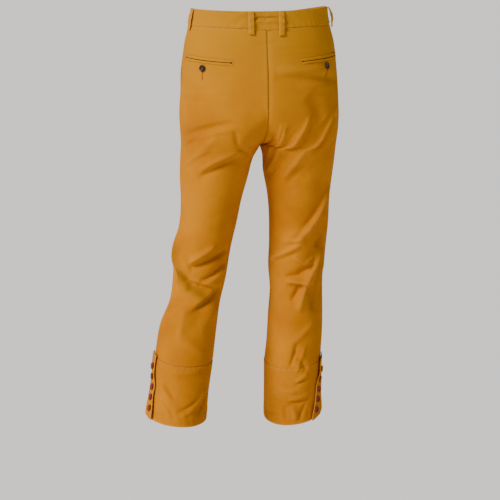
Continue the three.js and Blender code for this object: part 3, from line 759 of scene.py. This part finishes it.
# place, side, u, behind, stand, below, crumple, twist: how far behind u a loop hangs, how far it
# stands off the band and reaches below it, and how far it is crumpled and twisted
LOOP_ROWS = [
    ("back", "left", 1, -29.5, 4, 12.5, 0.4, 0.6),
    ("back", "right", 1, -29, 4, 16, 1.3, 0.6),
    ("side", "left", 0.5, 23, 4.5, 9, 0.3, 2),
    ("side", "right", 0.5, 23, 7, 9, 0.3, 4),
    ("front", "left", 0, 96, 3, 12, 0.2, 0),
    ("front", "right", 0, 96, 3, 12, 0.3, 0),
]
for place, side, u, distance, stand, below, crumple, twist in LOOP_ROWS:
    down_share = np.linspace(0, 1, 56)[:, None]
    across = np.concatenate([[0, 0.04, 0.1], np.linspace(0.18, 0.82, 9), [0.9, 0.96, 1]])[None, :]
    top, bottom = -SEAM_LEVEL - 0.3, SEAM_LEVEL - below
    level = top + (bottom - top) * down_share
    u_grid = behind(side, u, level, distance + LOOP_WIDTH * (across - 0.5))
    seat = (1 - down_share) * BAND_PROUD + 0.4
    arch = np.sin(np.pi * down_share)
    bow = stand * arch**0.8
    kink = crumple * np.sin(21 * down_share + 3 * across) * arch**0.5
    kink = kink + twist * (0.5 - across) * arch
    crown = 0.9 * np.sin(np.pi * across) ** 0.7
    folded_end = 1.5 / (1 + np.exp((0.9 - down_share) * 90))
    strip = shell(
        f"loop_{place}_{side}_strip",
        side,
        u_grid,
        level,
        seat + bow + kink + folded_end,
        LOOP_WALL - 0.4 + crown,
        MUSTARD_TWILL,
        np.exp(-np.minimum(across, 1 - across) * LOOP_WIDTH / 2),
    )
    fitted(strip, f"loop_{place}_{side}")

# Back pockets
# Each back pocket is a slit edged by two narrow jets, which stand a little open, so that the pocket bag
# shows between them as a dark line; its dark brown is painted shade of the mouth. Their ends are tacked.
POCKET_MOUTH = {"from": 0.57, "to": 0.874, "outer": -83, "inner": -90.5, "jet": 6}
POCKET_BUTTON_DROP = 17


def mouth_u(share):
    """The u of a back pocket's mouth, from its outer end to its inner one."""
    return POCKET_MOUTH["from"] + (POCKET_MOUTH["to"] - POCKET_MOUTH["from"]) * share


def mouth_level(share):
    """The level of a back pocket's mouth, from its outer end to its inner one."""
    return POCKET_MOUTH["outer"] + (POCKET_MOUTH["inner"] - POCKET_MOUTH["outer"]) * share


JET_WALL = 1.1
MOUTH_OPEN = {"above": 0.5, "below": 0.9}
# The pocket bag's cotton, plain woven and matt, coloured dark brown as painted shade, of which a dark line
# shows in the mouth
POCKET_BAG_SHADE = material("pocket_bag_painted_shade", {"Base Color": linear("#4A2C0C"), "Roughness": 0.9})[0]
for side in SIDES:
    run = np.linspace(0.012, 0.988, 90)[None, :]
    level = mouth_level(run) + np.array([[1.6], [-2.2]])
    bag = shell(f"pocket_bag_{side}_edge", side, mouth_u(run), level, 0.1, 0.35, POCKET_BAG_SHADE)
    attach(bag, "root")
    upper = "upper", MOUTH_OPEN["above"], POCKET_MOUTH["jet"]
    lower = "lower", -MOUTH_OPEN["below"], -POCKET_MOUTH["jet"]
    for place, lip, edge in (upper, lower):
        across = np.concatenate([np.linspace(0, 0.12, 4), np.linspace(0.2, 0.8, 6), np.linspace(0.88, 1, 4)])
        level_line = edge + (lip - edge) * across
        if place == "lower":
            level_line, across = level_line[::-1], across[::-1]
        run = np.linspace(0, 1, 120)
        level = level_line[:, None] + mouth_level(run)[None, :]
        sag = 0.5 * np.sin(np.pi * run) if place == "lower" else 0.15 * np.sin(np.pi * run)
        level = level - sag[None, :] * across[:, None]
        body = 1 - np.exp(-((np.minimum(run, 1 - run) / 0.05) ** 2))
        lift = -0.9 + 1.3 * body[None, :] + 0.6 * across[:, None] * np.sin(np.pi * run)[None, :]
        wavy = 0.12 * np.sin(run * 31 + 2 * across[:, None])
        round_edge = -0.7 * np.exp(-((1 - across) * 6 / 0.8) ** 2) - 0.5 * np.exp(-((across * 6 / 0.8) ** 2))
        jet = shell(
            f"pocket_jet_{place}_{side}_strip",
            side,
            mouth_u(run)[None, :],
            level,
            lift + wavy,
            JET_WALL + round_edge[:, None],
            MUSTARD_TWILL,
            0.3 * np.exp(-(1 - across) * 4)[:, None],
        )
        fitted(jet, f"pocket_jet_{place}_{side}")

# Front closing
# The left front's fly flap covers the opening, and the band's left end laps over the right
# half, where one button holds it.
FLY = {"width": 38, "bottom": -176, "rounded_from": 0.72, "rounded_over": 0.3}
TAB_LENGTH = 45
LAY_GAP = 0.3


def fly_edge(share):
    """How far out the flap reaches, 0 to 1, at a share of its way down: its foot is rounded."""
    return np.sqrt(1 - np.clip((share - FLY["rounded_from"]) / FLY["rounded_over"], 0, 1) ** 2)


run = np.linspace(0, 1, 80)[:, None]
across = np.linspace(0, 1, 26)[None, :]
level = SEAM_LEVEL - 0.5 + (FLY["bottom"] - SEAM_LEVEL) * run
fly = shell(
    "fly_flap_cloth",
    "left",
    behind("left", 0, level, 0.3 + FLY["width"] * fly_edge(run) * across),
    level,
    0.4 + 0.2 * np.sin(run * 17) * (1 - across),
    1.2,
    MUSTARD_TWILL,
    np.exp(-np.minimum(across, 1 - across) * 12),
)
run = np.linspace(0, 1, 26)[:, None]
across = np.linspace(0, 1, 34)[None, :]
level = -SEAM_LEVEL - 0.2 + (2 * SEAM_LEVEL + 0.4) * run
tab = shell(
    "waist_tab_cloth",
    "right",
    behind("right", 0, level, 0.3 + TAB_LENGTH * across),
    level,
    BAND_PROUD + LAY_GAP + 0.1 + 0.5 * across**3,
    BAND_WALL,
    MUSTARD_TWILL,
    np.exp(-(1 - across) * 12),
)
fitted(fly, "fly_flap")
fitted(tab, "waist_tab")

# Vent plackets
# On each cuff's outer side a doubled strip laps the vent from the front, held by five buttons.
# Its free edge behind stands off in a soft wave, with a shadow under it.
PLACKET = {"above": 8, "front": 8, "width": 37}
PLACKET_SEAT = CUFF_PROUD + LAY_GAP + 0.3
FLARE = {"left": 6.5, "right": 5}
TOP_STAND = {"left": 3, "right": 0}
PLACKET_WALL = 1.8
RIM_SPAN = {"across": 32, "down": 140}


def placket_place(side, down_share, across):
    """u, level and height of a placket's inner face."""
    top, bottom = CUFF_TOP[side] + PLACKET["above"], HEM[side]
    level = top + (bottom - top) * down_share
    wavy_edge = 1.4 * np.sin(2 * np.pi * (2.4 * down_share + 0.15)) * across**2
    u = behind(side, 0.5, level, PLACKET["width"] * across - PLACKET["front"] + wavy_edge)
    free = np.maximum((across - 0.25) / 0.75, 0)
    wave = 0.75 + 0.25 * np.sin(2.5 * np.pi * down_share + 0.6)
    fine = 0.5 * np.sin(23 * down_share + (0 if side == "left" else 2)) * free**2
    near_top = np.exp(-((down_share / 0.35) ** 2))
    stand = TOP_STAND[side] * np.clip(across / 0.35, 0, 1) ** 1.5 * near_top * (1 - 0.7 * free**2)
    flare = FLARE[side] * (1 - 0.75 * near_top) if side == "left" else FLARE[side]
    return u, level, PLACKET_SEAT + flare * wave * free**1.4 + stand + fine


for side in SIDES:
    down_share = np.linspace(0, 1, 90)[:, None]
    across = np.concatenate([[0, 0.02, 0.05], np.linspace(0.09, 0.91, 22), [0.95, 0.98, 1]])[None, :]
    u_grid, level, height = placket_place(side, down_share, across)
    rim = np.minimum(across, 1 - across) * RIM_SPAN["across"]
    rim = np.minimum(rim, np.minimum(down_share, 1 - down_share) * RIM_SPAN["down"])
    strip = shell(
        f"placket_{side}_strip",
        side,
        u_grid,
        level,
        height,
        PLACKET_WALL - 0.9 * np.exp(-((rim / 0.9) ** 2)),
        MUSTARD_TWILL,
        np.exp(-rim / 2),
    )
    fitted(strip, f"placket_{side}")

# Buttons
# Turned horn-look buttons, 15 mm across with a raised rim and four holes, crossed with thread:
# near black on the pockets and the waist, red-brown on the vents.
SHANK = 0.8
HOLE_OUT, HOLE_RADIUS, WELL = 1.25, 0.62, 1.75


def horn(name, light, dark, roughness, coat):
    """Polished horn: a hard clear gloss over cloudy brown, with faint streaks across it."""
    gloss = {"Specular IOR Level": 0.25, "Coat Weight": coat, "Coat Roughness": 0.1}
    made, tree, shader = material(name, {"Roughness": roughness, **gloss})
    place = node(tree, "ShaderNodeTexCoord")
    streak = node(
        tree,
        "ShaderNodeTexNoise",
        values={"Scale": 260.0, "Detail": 5.0, "Roughness": 0.6, "Distortion": 1.2},
        links={"Vector": place.outputs["Object"]},
    )
    tone = node(
        tree,
        "ShaderNodeMapRange",
        values={"From Min": 0.35, "From Max": 0.7},
        links={"Value": streak.outputs["Fac"]},
    )
    tones = {"A": linear(dark), "B": linear(light)}
    colour = node(tree, "ShaderNodeMix", MIXED, tones, {"Factor": tone.outputs["Result"]})
    tree.links.new(colour.outputs["Result"], shader.inputs["Base Color"])
    return made


DARK_HORN = horn("dark_horn", "#3E2016", "#1C0B07", 0.42, 0.12)
RED_HORN = horn("red_brown_horn", "#8C3210", "#5A1C08", 0.65, 0.02)


def sewing_thread(name, code):
    """Spun polyester thread: matt, with the twist as a fine bump."""
    made, tree, shader = material(name, {"Roughness": 0.7})
    place = node(tree, "ShaderNodeTexCoord")
    twist = node(
        tree,
        "ShaderNodeTexNoise",
        values={"Scale": 1500.0, "Detail": 2.0},
        links={"Vector": place.outputs["Object"]},
    )
    tone = {"Factor": 0.35, "A": linear(code)}
    colour = node(tree, "ShaderNodeMix", MULTIPLIED, tone, {"B": twist.outputs["Fac"]})
    tree.links.new(colour.outputs["Result"], shader.inputs["Base Color"])
    relief = node(
        tree,
        "ShaderNodeBump",
        values={"Strength": 0.4, "Distance": 0.1 * MM},
        links={"Height": twist.outputs["Fac"]},
    )
    tree.links.new(relief.outputs["Normal"], shader.inputs["Normal"])
    return made


MUSTARD_THREAD = sewing_thread("mustard_thread", "#C98A22")
RUST_THREAD = sewing_thread("rust_thread", "#B5561C")


def disc(radius_line, height_line, segments=48):
    """A turned solid from its profile, out from the axis at the top and back in at the bottom."""
    angle = np.linspace(0, 2 * np.pi, segments, endpoint=False)
    ring = np.stack([np.cos(angle), np.sin(angle)], -1)
    points, faces = [], []
    for r, h in zip(radius_line, height_line):
        points += [(r * x, r * y, h) for x, y in ring]
    for i in range(len(radius_line) - 1):
        for j in range(segments):
            k = (j + 1) % segments
            one, two = i * segments, (i + 1) * segments
            faces.append((one + j, two + j, two + k, one + k))
    first, last = len(points), len(points) + 1
    points += [(0, 0, height_line[0]), (0, 0, height_line[-1])]
    end = (len(radius_line) - 1) * segments
    faces += [(first, j, (j + 1) % segments) for j in range(segments)]
    faces += [(last, end + (j + 1) % segments, end + j) for j in range(segments)]
    return points, faces


def button(name, place, normal, up, finish, thread):
    """One button with its four pits and its crossed thread, facing along a normal."""
    profile_r = [0.3, 0.8, 1.3, 1.8, 2.3, 2.8, 3.3, 4.2, 5.0, 5.5, 6.0, 6.6, 7.1, 7.4, 7.5, 7.4, 7.0, 3.0]
    profile_h = [WELL] * 7 + [1.78, 1.95, 2.25, 2.5, 2.6, 2.5, 2.2, 1.6, 0.8, 0.1, 0]
    points, faces = disc(profile_r, profile_h)
    holes = [(s * HOLE_OUT, q * HOLE_OUT) for s in (-1, 1) for q in (-1, 1)]
    sunk = []
    for x, y, z in points:
        near = min(math.hypot(x - a, y - b) for a, b in holes)
        sunk.append((x, y, z - (1.1 * math.exp(-((near / HOLE_RADIUS) ** 4)) if z > 1 else 0)))
    bars = []
    for s in (-1, 1):
        for k in range(9):
            q = -1 + k / 4
            bars.append((s * HOLE_OUT, q * HOLE_OUT, WELL + 0.55 * (1 - q * q) ** 0.5))
    mesh_points, mesh_faces, marks = list(sunk), [list(f) for f in faces], [0] * len(faces)
    sides = 6
    for start in (0, 9):
        base = len(mesh_points)
        for x, y, z in bars[start : start + 9]:
            for j in range(sides):
                a = 2 * math.pi * j / sides
                mesh_points.append((x + 0.42 * math.cos(a), y, z + 0.32 * math.sin(a)))
        for i in range(8):
            for j in range(sides):
                k = (j + 1) % sides
                one, two = base + i * sides, base + (i + 1) * sides
                mesh_faces.append([one + j, one + k, two + k, two + j])
                marks.append(1)
        mesh_faces.append([base + j for j in range(sides)][::-1])
        mesh_faces.append([base + 8 * sides + j for j in range(sides)])
        marks += [1, 1]
    z_axis = Vector(normal).normalized()
    x_axis = Vector(up).cross(z_axis).normalized()
    turn = Matrix((x_axis, z_axis.cross(x_axis), z_axis)).transposed()
    origin = Vector(place) + z_axis * SHANK
    mesh = bpy.data.meshes.new(name)
    mesh.from_pydata([(turn @ Vector(p) + origin) * MM for p in mesh_points], [], mesh_faces)
    mesh.materials.append(finish)
    mesh.materials.append(thread)
    mesh.polygons.foreach_set("material_index", marks)
    mesh.shade_smooth()
    return in_scene(name, mesh)


def spot(side, u, level, height):
    """A point off the cloth and the cloth's normal there."""
    one = np.array([float(u)]), np.array([float(level)])
    low = lifted(side, *one, np.array([float(height)]))[0]
    high = lifted(side, *one, np.array([float(height) + 1]))[0]
    return low, high - low


buttons = []
for side in SIDES:
    u = (POCKET_MOUTH["from"] + POCKET_MOUTH["to"]) / 2
    place, normal = spot(side, u, mouth_level(0.5) - POCKET_BUTTON_DROP, 0)
    buttons.append((f"pocket_button_{side}", place, normal, DARK_HORN, MUSTARD_THREAD, "pocket_button"))
u = float(behind("right", 0, np.array([0.0]), 0.68 * TAB_LENGTH)[0])
place, normal = spot("right", u, 0, BAND_PROUD + LAY_GAP + 0.1 + BAND_WALL)
buttons.append(("waist_button", place, normal, DARK_HORN, MUSTARD_THREAD, "pocket_button"))
CUFF_BUTTONS, CUFF_BUTTON_COLUMN = 5, 0.76
FIRST_CUFF_BUTTON, LAST_CUFF_BUTTON = 0.2, 0.84
for side in SIDES:
    for i, row in enumerate(np.linspace(FIRST_CUFF_BUTTON, LAST_CUFF_BUTTON, CUFF_BUTTONS), 1):
        column = CUFF_BUTTON_COLUMN
        grid = np.array([[row, column], [row, column + 0.04], [row - 0.02, column]])
        u_at, level_at, height_at = placket_place(side, grid[:, 0], grid[:, 1])
        at = lifted(side, u_at, level_at, height_at + PLACKET_WALL)
        normal = np.cross(at[1] - at[0], at[2] - at[0])
        if side == "right":
            normal = -normal
        buttons.append((f"cuff_button_{side}_{i}", at[0], normal, RED_HORN, RUST_THREAD, "cuff_button"))
for name, place, normal, finish, thread, slot in buttons:
    fitted(button(f"{name}_turned", place, normal, (0, 0, 1), finish, thread), name)

# Stitching
# Lockstitch in mustard thread along the band, pockets, fly, cuffs, hems and loops, three
# millimetres a stitch, each stitch a short grain of thread standing on the cloth.


def stitch_tree():
    """Geometry Nodes: a grain of thread at each step along the lines of a mesh."""
    tree = bpy.data.node_groups.new("stitch_line", "GeometryNodeTree")
    face = tree.interface
    face.new_socket("Lines", in_out="INPUT", socket_type="NodeSocketGeometry")
    for name, value in (("Pitch", 3 * MM), ("Stitch length", 2.3 * MM), ("Thread", 0.55 * MM)):
        face.new_socket(name, in_out="INPUT", socket_type="NodeSocketFloat").default_value = value
    face.new_socket("Finish", in_out="INPUT", socket_type="NodeSocketMaterial")
    face.new_socket("Stitches", in_out="OUTPUT", socket_type="NodeSocketGeometry")
    given = node(tree, "NodeGroupInput")
    curve = node(tree, "GeometryNodeMeshToCurve", links={"Mesh": given.outputs["Lines"]})
    steps = node(
        tree,
        "GeometryNodeResampleCurve",
        {"mode": "LENGTH"},
        links={"Curve": curve.outputs["Curve"], "Length": given.outputs["Pitch"]},
    )
    tangent = node(tree, "GeometryNodeInputTangent")
    turned = node(
        tree,
        "FunctionNodeAlignRotationToVector",
        {"axis": "X"},
        links={"Vector": tangent.outputs["Tangent"]},
    )
    grain = node(tree, "GeometryNodeMeshIcoSphere", values={"Radius": 0.5, "Subdivisions": 1})
    size = node(
        tree,
        "ShaderNodeCombineXYZ",
        links={
            "X": given.outputs["Stitch length"],
            "Y": given.outputs["Thread"],
            "Z": given.outputs["Thread"],
        },
    )
    placed = node(
        tree,
        "GeometryNodeInstanceOnPoints",
        links={
            "Points": steps.outputs["Curve"],
            "Instance": grain.outputs["Mesh"],
            "Rotation": turned.outputs["Rotation"],
            "Scale": size.outputs["Vector"],
        },
    )
    real = node(tree, "GeometryNodeRealizeInstances", links={"Geometry": placed.outputs["Instances"]})
    finished = node(
        tree,
        "GeometryNodeSetMaterial",
        links={"Geometry": real.outputs["Geometry"], "Material": given.outputs["Finish"]},
    )
    node(tree, "NodeGroupOutput", links={"Stitches": finished.outputs["Geometry"]})
    return tree


STITCH_TREE = stitch_tree()


def stitches(name, lines, finish, pitch=3.0, length=2.3, thread=0.55):
    """Stitches along lines of points in millimetres, as one plain mesh."""
    points, edges = [], []
    for line in lines:
        base = len(points)
        points += (line * MM).tolist()
        edges += [(base + i, base + i + 1) for i in range(len(line) - 1)]
    mesh = bpy.data.meshes.new(name + "_lines")
    mesh.from_pydata(points, edges, [])
    guide = in_scene(name + "_lines", mesh)
    modifier = guide.modifiers.new("stitches", "NODES")
    modifier.node_group = STITCH_TREE
    sizes = {"Pitch": pitch * MM, "Stitch length": length * MM, "Thread": thread * MM, "Finish": finish}
    for item in STITCH_TREE.interface.items_tree:
        if item.item_type == "SOCKET" and item.in_out == "INPUT" and item.name in sizes:
            modifier[item.identifier] = sizes[item.name]
    graph = bpy.context.evaluated_depsgraph_get()
    sewn = bpy.data.meshes.new_from_object(guide.evaluated_get(graph))
    bpy.data.objects.remove(guide)
    sewn.name = name
    sewn.shade_smooth()
    piece = in_scene(name, sewn)
    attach(piece, "root")


def line(side, u, level, height):
    """A line of points on the cloth; u, level and height are numbers or arrays of one length."""
    u, level, height = np.broadcast_arrays(np.asarray(u, float), level, height)
    return lifted(side, u, np.asarray(level, float), np.asarray(height, float))


steps = np.linspace(0, 1, 160)
lines = []
for side in SIDES:
    round_way = 0.004 + 0.992 * steps
    lines.append(line(side, round_way, SEAM_LEVEL + 2.2, BAND_PROUD + 0.25))
    lines.append(line(side, round_way, -SEAM_LEVEL - 2.5, BAND_PROUD + 0.2))
stitches("band_stitching", lines, MUSTARD_THREAD)

lines = []
for side in SIDES:
    lines.append(line(side, 0.006 + 0.988 * steps, CUFF_TOP[side] + 2.5, 0.15))
    lines.append(line(side, 0.006 + 0.988 * steps, HEM[side] + HEM_DEPTH - 1.5, CUFF_PROUD + 0.4))
stitches("cuff_stitching", lines, MUSTARD_THREAD)

lines = []
for side in SIDES:
    run = np.linspace(0.01, 0.99, 60)
    across = np.linspace(0.08, 0.92, 14)
    edges = [(run, np.full_like(run, column)) for column in (0.09, 0.9)]
    ends = [(np.full_like(across, row), across) for row in (0.02, 0.985)]
    for down_share, column in edges + ends:
        u_at, level_at, height_at = placket_place(side, down_share, column)
        lines.append(lifted(side, u_at, level_at, height_at + PLACKET_WALL + 0.1))
stitches("placket_stitching", lines, MUSTARD_THREAD)

lines = []
for side in SIDES:
    level = np.linspace(SEAM_LEVEL - 2, SLANT["bottom"] + 2, 60)
    lines.append(line(side, behind(side, mouth(side)(level), level, -5), level, 0.9))
    run = np.linspace(POCKET_MOUTH["from"] - 0.004, POCKET_MOUTH["to"] + 0.004, 60)
    for up in (POCKET_MOUTH["jet"] + 1.2, -POCKET_MOUTH["jet"] - 1.4):
        lines.append(line(side, run, mouth_level(np.linspace(0, 1, 60)) + up, 0.2))
    for u, end in ((POCKET_MOUTH["from"] - 0.005, 0), (POCKET_MOUTH["to"] + 0.005, 1)):
        tack = mouth_level(end) + np.linspace(-8, 7.5, 10)
        lines.append(line(side, u, tack, 0.25))
level = np.linspace(SEAM_LEVEL - 3, FLY["bottom"] + 6, 70)
share = (level - SEAM_LEVEL) / (FLY["bottom"] - SEAM_LEVEL)
lines.append(line("left", behind("left", 0, level, (FLY["width"] - 3) * fly_edge(share)), level, 1.75))
stitches("pocket_and_fly_stitching", lines, MUSTARD_THREAD)

lines = []
for place, side, u, distance, stand, below, *_ in LOOP_ROWS:
    for tack_level, height in ((-SEAM_LEVEL - 5, BAND_PROUD + 3.2), (SEAM_LEVEL - below + 3, 3.2)):
        offset = np.linspace(-LOOP_WIDTH / 2 + 1, LOOP_WIDTH / 2 - 1, 8)
        level = np.full_like(offset, tack_level)
        lines.append(line(side, behind(side, u, level, distance + offset), level, height))
stitches("loop_tacks", lines, MUSTARD_THREAD, pitch=1.6, length=1.9, thread=0.7)

# Buttonholes
# A slit runs down from each pocket button. It lies closed, so that only the rust thread that is
# worked closely along both of its edges shows.
lines = []
for side in SIDES:
    u = (POCKET_MOUTH["from"] + POCKET_MOUTH["to"]) / 2
    level = mouth_level(0.5) - POCKET_BUTTON_DROP - np.linspace(7.5, 24, 14)
    for offset in (-0.7, 0.7):
        flat = np.full_like(level, offset)
        lines.append(line(side, behind(side, u, level, flat), level, 0.35))
stitches("buttonhole_threads", lines, RUST_THREAD, pitch=0.9, length=1.2, thread=1.0)

# Floor, light and camera
# A pale seamless floor, one broad key light high on the left behind the camera, and an even
# studio light all round.
FLOOR_LEVEL, FLOOR_REACH = -1.9, 60
floor_mesh = bpy.data.meshes.new("floor")
corners = [(x * FLOOR_REACH, y * FLOOR_REACH, FLOOR_LEVEL) for x, y in ((-1, -1), (1, -1), (1, 1), (-1, 1))]
floor_mesh.from_pydata(corners, [], [(0, 1, 2, 3)])
glow = {"Emission Color": linear("#FFFFFF"), "Emission Strength": 0.14}
paper, paper_tree, paper_shader = material("white_paper_floor", {"Roughness": 0.9, **glow})
grain = node(paper_tree, "ShaderNodeTexNoise", values={"Scale": 3.0, "Detail": 2.0})
tones = {"A": linear("#FBFBFB"), "B": linear("#FFFFFF")}
tint = node(paper_tree, "ShaderNodeMix", MIXED, tones, {"Factor": grain.outputs["Fac"]})
paper_tree.links.new(tint.outputs["Result"], paper_shader.inputs["Base Color"])
floor_mesh.materials.append(paper)
in_scene("floor", floor_mesh)

world = bpy.data.worlds.new("studio")
world.use_nodes = True
world.node_tree.nodes["Background"].inputs["Color"].default_value = linear("#FFFFFF")
world.node_tree.nodes["Background"].inputs["Strength"].default_value = 0.23
bpy.context.scene.world = world

SUN_HEADING = Vector((0.7, 0.43, -0.57))
key_lamp = bpy.data.lights.new("key", "SUN")
key_lamp.energy = 3.8
key_lamp.angle = math.radians(22)
key_lamp.color = linear("#FFF9F0")[:3]
key = in_scene("key", key_lamp)
key.rotation_mode = "QUATERNION"
key.rotation_quaternion = SUN_HEADING.to_track_quat("-Z", "Y")

# The photographed view: 9 degrees to the wearer's left of straight behind, from just above the
# waist and looking down, on a long lens.
VIEW_AZIMUTH, VIEW_PITCH = math.radians(9), math.radians(13.8)
VIEW_DISTANCE, VIEW_HEIGHT = 3.6, 0.36
SENSOR_WIDTH, FOCAL_IN_WIDTHS = 36, 3.272
FRAME_SHIFT = -0.018
lens = bpy.data.cameras.new("view")
lens.sensor_width = SENSOR_WIDTH
lens.lens = SENSOR_WIDTH * FOCAL_IN_WIDTHS
lens.shift_x = FRAME_SHIFT
lens.clip_end = 200
camera = in_scene("view", lens)
aim_x, aim_y = math.sin(VIEW_AZIMUTH), math.cos(VIEW_AZIMUTH)
camera.location = (-VIEW_DISTANCE * aim_x, -VIEW_DISTANCE * aim_y, VIEW_HEIGHT)
level_share = math.cos(VIEW_PITCH)
heading = Vector((aim_x * level_share, aim_y * level_share, -math.sin(VIEW_PITCH)))
camera.rotation_mode = "QUATERNION"
camera.rotation_quaternion = heading.to_track_quat("-Z", "Y")
bpy.context.scene.camera = camera
